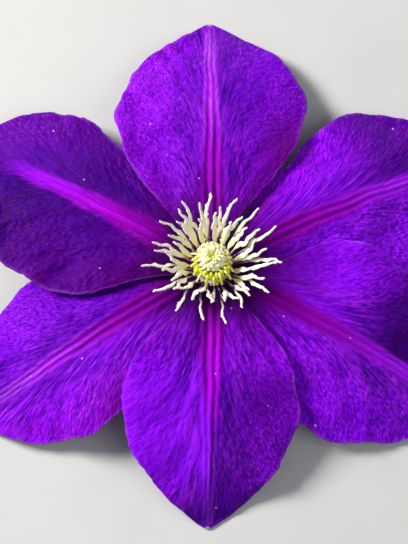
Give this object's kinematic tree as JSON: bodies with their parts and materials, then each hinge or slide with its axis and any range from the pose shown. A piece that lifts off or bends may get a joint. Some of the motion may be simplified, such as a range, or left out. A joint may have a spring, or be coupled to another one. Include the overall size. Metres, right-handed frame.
{
  "type": "clematis flower",
  "caption": "Clematis bloom laid face up: broad overlapping tepals arched from a short bent stalk, with spreading cream stamens round a yellow boss.",
  "frame": {"origin": "below the middle of the flower's box, on the surface that it rests on", "axes": "+Z up, out of the flower's face; +Y towards the top tepal; +X to the right seen from above with +Y up"},
  "size_m": [0.1383, 0.1418, 0.0268],
  "materials": {
    "stalk": "green, ribbed and slightly hairy",
    "tepal": "velvety violet with a magenta bar",
    "stamens_outer": "matt cream",
    "stamens_inner": "matt yellow-green",
    "pistils": "silky pale yellow"
  },
  "bodies": {
    "root": {"stalk": "stalk", "tepal_top": "tepal", "tepal_upper_right": "tepal", "tepal_lower_right": "tepal", "tepal_bottom": "tepal", "tepal_lower_left": "tepal", "tepal_upper_left": "tepal", "stamens_outer": "stamens_outer", "stamens_inner": "stamens_inner", "pistils": "pistils"}
  },
  "joints": []
}
